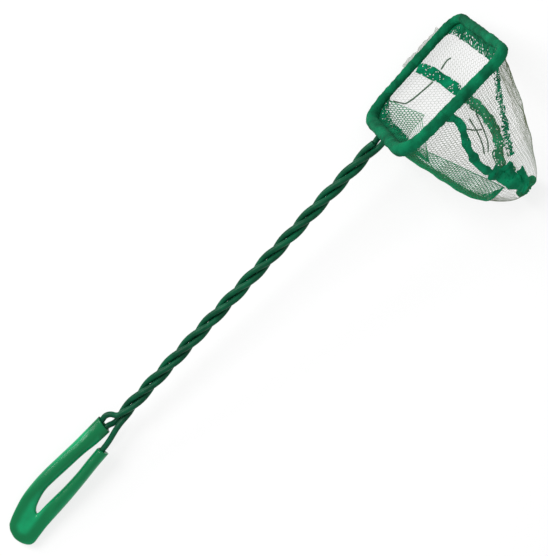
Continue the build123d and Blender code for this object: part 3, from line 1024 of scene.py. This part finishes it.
class FISHNET_OT_panels(bpy.types.Operator):
    """Add the two panels of see-through net, and the net that lies folded on them"""

    bl_idname = "fishnet.panels"
    bl_label = "Net panels"

    def execute(self, context):
        mesh = settings().mesh
        material = strand_material("net_strand", settings().finish.net)
        bag = Bag()
        far = bag.border(bag.far_arc, FAR_SEAM)
        near = bag.border(bag.near_arc, NEAR_SEAM)
        total = np.array([ring["total"] for ring in bag.rings])
        tip = np.array([ring["tip"] for ring in bag.rings])
        panels = (
            ("net_panel_handle", near - total, far, np.zeros(len(far))),
            ("net_panel_tip", far, near, tip),
        )
        for node, low, high, middle in panels:
            shares, arcs, faces = hexagons(bag, low, high, middle, mesh.cell)
            points, facing = bag.at(shares, arcs)
            weights = 1 - (1 - mesh.far_share) * np.clip(facing[:, 1], 0, 1)
            weights *= 1 - TIP_THINNING * np.clip(facing[:, 0], 0, 1)
            weights *= 1 - END_THINNING * ramp(shares, END_THINNING_FROM, 1.0)
            points = folded(points, facing, shares)
            piece = add_piece(f"{node}_mesh", laid(points), faces, material, (node,))
            add_strands(piece, weights, mesh.strand)

        green = strand_material("fold_strand", settings().finish.fold)
        fold_start = bag.border(bag.near_arc, HANDLE_FOLD) - total
        tuck_end = bag.border(bag.far_arc, TUCK_EDGE)
        # Name, borders, share of the depth where the layer ends, height above the panel
        layers = (
            ("net_fold_mesh", fold_start, np.full(len(total), FOLD_END), 0.80, 0.0007),
            ("net_tuck_mesh", np.full(len(total), TUCK_START), tuck_end, 0.24, -0.0028),
        )
        for name, low, high, last, lift in layers:
            high = np.where(bag.shares > last, low, high)
            shares, arcs, faces = hexagons(bag, low, high, (low + high) / 2, mesh.fold_cell)
            points, facing = bag.at(shares, arcs)
            rise = lift * ramp(shares, 0.0, LAYER_RISE)
            points = folded(points, facing, shares) + facing * rise[:, None]
            piece = add_piece(name, laid(points), faces, green)
            add_strands(piece, np.ones(len(points)), mesh.fold_strand)
        return {"FINISHED"}


def frill():
    """Net that spills from the hem to the table, from the far seam to near the tip: vertices and faces."""
    start = arc_on_mouth(FAR_SEAM[0][1] - FRILL_BEFORE_SEAM, 1)
    end = arc_on_mouth(settings().mouth.mouth_length / 2 - FRILL_BEFORE_TIP, 1)
    spots = laid(on_mouth(np.arange(start, end, FRILL_STEP)))
    outs = np.arange(0.0, FRILL_WIDTH, FRILL_CELL)
    points = []
    for spot in spots:
        place = Vector(spot)
        reach = 1 + FRILL_WAVER * noise.noise(place * FRILL_WAVER_WAVES)
        reach += FRILL_TEETH * noise.noise(place * FRILL_TEETH_WAVES)
        ripple = FRILL_HEIGHT + FRILL_RIPPLE * noise.noise(place * FRILL_RIPPLE_WAVES)
        for out in outs:
            drop = (1 - out / outs[-1]) ** 2
            points.append((spot[0], spot[1] + out * reach, ripple + (spot[2] - ripple) * drop))
    return kept_faces(np.array(points), len(spots), len(outs))


class FISHNET_OT_creases(bpy.types.Operator):
    """Add the corner fold, the creases of the net and the frill outside the hem"""

    bl_idname = "fishnet.creases"
    bl_label = "Creases"

    def execute(self, context):
        mesh, finish = settings().mesh, settings().finish
        bag = Bag()
        cloth = cloth_material("fold_cloth", finish.seam, spread=1.5, grain_scale=800.0)
        vertices, faces = ribbon(
            bag, bag.near_arc, CORNER_FOLD,
            width=0.0034, lift=0.0008, rough=0.0006, frayed=0.72, seed=mesh.seed + 5,
        )
        fold = add_piece("corner_fold_cloth", laid(vertices), faces, cloth)
        thicken(fold, FOLD_THICKNESS)

        thread = cloth_material("crease_thread", finish.crease, spread=1.3, grain_scale=800.0)
        # Side, path, height above the panel
        lines = (
            (bag.far_arc, LONG_CREASE, -0.0016),
            (bag.far_arc, SHORT_CREASE, -0.0012),
            (bag.near_arc, FIRST_WRINKLE, 0.0005),
            (bag.near_arc, SECOND_WRINKLE, 0.0005),
            (bag.near_arc, CROSS_WRINKLE, 0.0005),
        )
        vertices, faces = joined([
            ribbon(bag, find, path, width=0.0004, lift=lift, rough=0.0002, frayed=0.0, seed=mesh.seed)
            for find, path, lift in lines
        ])
        creases = add_piece("net_creases", laid(vertices), faces, thread)
        thicken(creases, FOLD_THICKNESS)

        vertices, faces = frill()
        strands = strand_material("frill_strand", finish.net)
        piece = add_piece("hem_frill_mesh", vertices, faces, strands)
        add_strands(piece, np.ones(len(vertices)), mesh.strand * FRILL_STRAND)
        return {"FINISHED"}


def bag_end_cap(bag):
    """Pleated net that closes the bag's end: vertices and faces."""
    arcs, line = bag.rings[-1]["line"]
    steps = np.linspace(0, 1, CAP_RINGS)
    spots = line_at(np.linspace(0, arcs[-1], CAP_SIDES), arcs, line)
    middle = spots.mean(axis=0)
    turns = np.arctan2(spots[:, 1] - middle[1], spots[:, 0] - middle[0])
    pleats = np.sin(PLEAT_COUNT * turns + PLEAT_SWAY * np.sin(PLEAT_SWAY_COUNT * turns))
    points = []
    for step in steps:
        ring = middle + (spots - middle) * (1 - CAP_CLOSING * step)
        out = bag.rings[-1]["z"] - CAP_BULGE * sin(pi / 2 * step)
        for (x, y), pleat in zip(ring, pleats):
            crease = PLEAT_DEPTH * pleat * sin(pi * step)
            crumple = CAP_ROUGHNESS * noise.noise(Vector((x, y, step * CAP_DRIFT)) * CAP_WAVES)
            points.append((x, y, out + crease + crumple))
    return kept_faces(np.array(points), CAP_RINGS, CAP_SIDES)


class FISHNET_OT_seams(bpy.types.Operator):
    """Add the two seams and the bunched end of the bag"""

    bl_idname = "fishnet.seams"
    bl_label = "Seams"

    def execute(self, context):
        mesh = settings().mesh
        material = cloth_material("seam_cloth", settings().finish.seam, spread=1.6, grain_scale=800.0)
        bag = Bag()
        # Node, side, path, width, height above the panel, share of flecks left out at the rim
        strips = (
            ("seam_near", bag.near_arc, NEAR_SEAM[:-1], mesh.seam_width, 0.0015, 0.06),
            ("seam_far", bag.far_arc, FAR_SEAM[:-1], mesh.bar_width, -0.0010, 0.16),
        )
        for index, (node, find, path, width, lift, frayed) in enumerate(strips):
            vertices, faces = ribbon(
                bag, find, path, width, lift, rough=0.0006, frayed=frayed, seed=mesh.seed + index
            )
            piece = add_piece(f"{node}_cloth", laid(vertices), faces, material, (node,))
            thicken(piece, SEAM_THICKNESS)

        # Path, width, height above the panel
        bunches = (
            (GATHER_SPINE, 0.0056, 0.0017),
            (GATHER_BACK, 0.0058, 0.0013),
            (GATHER_KNOB, 0.0036, 0.0022),
        )
        parts = [
            ribbon(bag, bag.near_arc, path, width, lift, rough=0.0012, frayed=0.05, seed=seed)
            for seed, (path, width, lift) in enumerate(bunches, mesh.seed + 20)
        ]
        vertices, faces = joined([*parts, bag_end_cap(bag)])
        gather = add_piece("seam_gather_cloth", laid(vertices), faces, material, ("seam_gather",))
        thicken(gather, SEAM_THICKNESS)
        return {"FINISHED"}


def add_camera(scene):
    """A camera that looks straight down at the table."""
    size, mouth = settings().stage, mouth_centre()
    data = bpy.data.cameras.new("camera")
    data.sensor_fit = "AUTO"
    data.sensor_width = SENSOR_WIDTH
    data.lens = SENSOR_WIDTH * size.camera_height / size.view_height
    data.clip_start = 0.01
    data.clip_end = 20.0
    camera = bpy.data.objects.new("camera", data)
    camera.location = (mouth[0] - size.camera_back, mouth[1] - size.camera_aside, size.camera_height)
    camera.rotation_euler = (0, 0, size.camera_turn)
    scene.collection.objects.link(camera)
    scene.camera = camera


def add_floor(scene):
    """The white table top."""
    half = settings().stage.floor_size / 2
    corners = [(-half, -half, 0), (half, -half, 0), (half, half, 0), (-half, half, 0)]
    mesh = bpy.data.meshes.new("table")
    mesh.from_pydata(corners, [], [(0, 1, 2, 3)])
    mesh.materials.append(floor_material(settings().finish.floor))
    floor = bpy.data.objects.new("table", mesh)
    scene.collection.objects.link(floor)


def add_sky(scene):
    """Even white light from all round."""
    world = bpy.data.worlds.new("studio")
    world.use_nodes = True
    sky = world.node_tree.nodes["Background"]
    sky.inputs["Color"].default_value = (1.0, 1.0, 1.0, 1.0)
    sky.inputs["Strength"].default_value = settings().stage.sky_strength
    scene.world = world


def add_softbox(name, location, size, power):
    """A rectangular lamp that looks at the middle of the table."""
    data = bpy.data.lights.new(name, "AREA")
    data.shape = "RECTANGLE"
    data.size, data.size_y = size
    data.energy = power
    lamp = bpy.data.objects.new(name, data)
    lamp.location = location
    lamp.rotation_euler = (-Vector(location)).to_track_quat("-Z", "Y").to_euler()
    bpy.context.scene.collection.objects.link(lamp)


class FISHNET_OT_stage(bpy.types.Operator):
    """Add the camera, the white floor and soft lights"""

    bl_idname = "fishnet.stage"
    bl_label = "Stage"

    def execute(self, context):
        size = settings().stage
        context.scene.view_settings.view_transform = "Standard"
        add_camera(context.scene)
        add_floor(context.scene)
        add_sky(context.scene)
        add_softbox("key", location=(-0.15, 0.75, 0.85), size=(0.5, 0.5), power=size.key_power)
        add_softbox("strip", location=(-0.10, 0.80, 0.36), size=(0.5, 0.12), power=size.strip_power)
        return {"FINISHED"}


OPERATORS = (
    FISHNET_OT_wire,
    FISHNET_OT_sleeve,
    FISHNET_OT_hem,
    FISHNET_OT_panels,
    FISHNET_OT_creases,
    FISHNET_OT_seams,
    FISHNET_OT_stage,
)


class FISHNET_PT_build(bpy.types.Panel):
    """The fish net's pieces and settings"""

    bl_idname = "FISHNET_PT_build"
    bl_label = "Fish Net"
    bl_space_type = "VIEW_3D"
    bl_region_type = "UI"
    bl_category = "Fish Net"

    def draw(self, context):
        for operator in OPERATORS:
            self.layout.operator(operator.bl_idname)
        for part in FishNet.__annotations__:
            group = getattr(settings(), part)
            box = self.layout.box()
            for name in group.__annotations__:
                box.prop(group, name)


CLASSES = (
    MouthSizes, SleeveSizes, BagSizes, MeshSizes, Finishes, StageSizes, FishNet,
    *OPERATORS, FISHNET_PT_build,
)


def register():
    for item in CLASSES:
        bpy.utils.register_class(item)
    bpy.types.Scene.fish_net = PointerProperty(type=FishNet)


def unregister():
    del bpy.types.Scene.fish_net
    for item in reversed(CLASSES):
        bpy.utils.unregister_class(item)


def main():
    """Builds the net and its stage."""
    register()
    bpy.ops.fishnet.wire()
    bpy.ops.fishnet.sleeve()
    bpy.ops.fishnet.hem()
    bpy.ops.fishnet.panels()
    bpy.ops.fishnet.creases()
    bpy.ops.fishnet.seams()
    bpy.ops.fishnet.stage()


if __name__ == "__main__":
    main()
